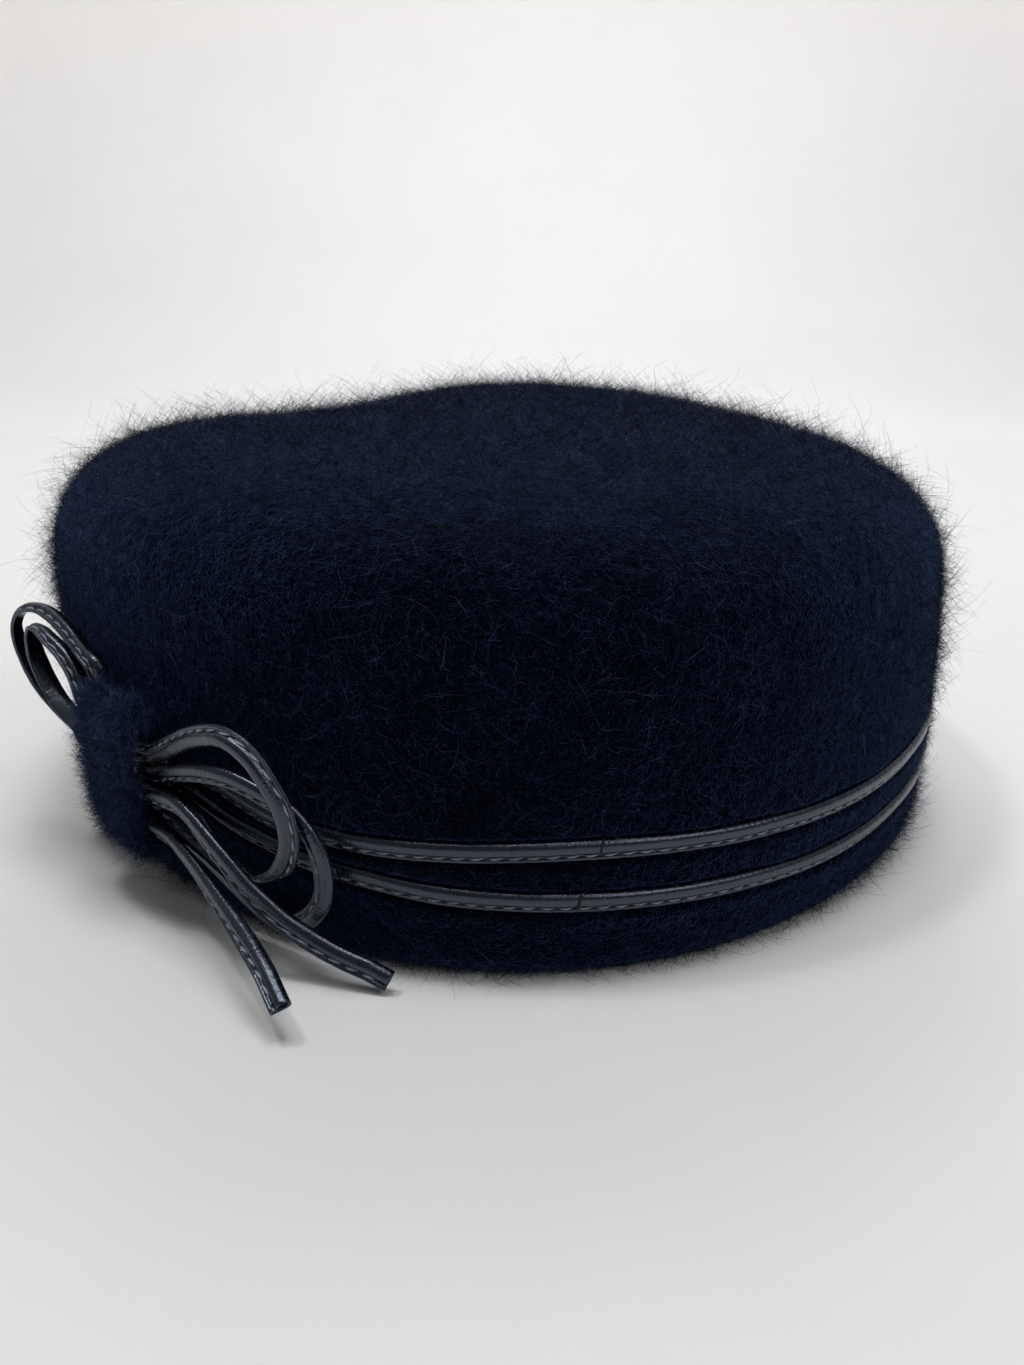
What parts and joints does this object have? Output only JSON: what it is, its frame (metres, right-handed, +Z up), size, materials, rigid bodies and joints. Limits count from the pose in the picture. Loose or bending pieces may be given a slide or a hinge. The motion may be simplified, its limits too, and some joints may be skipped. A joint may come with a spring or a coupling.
{
  "type": "pillbox hat",
  "caption": "Soft brimless felt pillbox hat with a slightly dented flat crown, narrow leather straps round its side and a looped strap bow held by a felt knot.",
  "frame": {"origin": "middle of the head opening, in the plane of the rim's underside", "axes": "+Z up through the crown, -Y towards the front, the bow on the -X -Y side"},
  "size_m": [0.2162, 0.2317, 0.0882],
  "materials": {
    "felt": "long soft nap",
    "leather": "satin"
  },
  "bodies": {
    "root": {"crown": "felt", "knot": "felt", "band_upper": "leather", "band_lower": "leather", "loop_front": "leather", "loop_rear": "leather", "loop_back_outer": "leather", "loop_back_inner": "leather", "tail_front": "leather", "tail_long": "leather"}
  },
  "joints": []
}
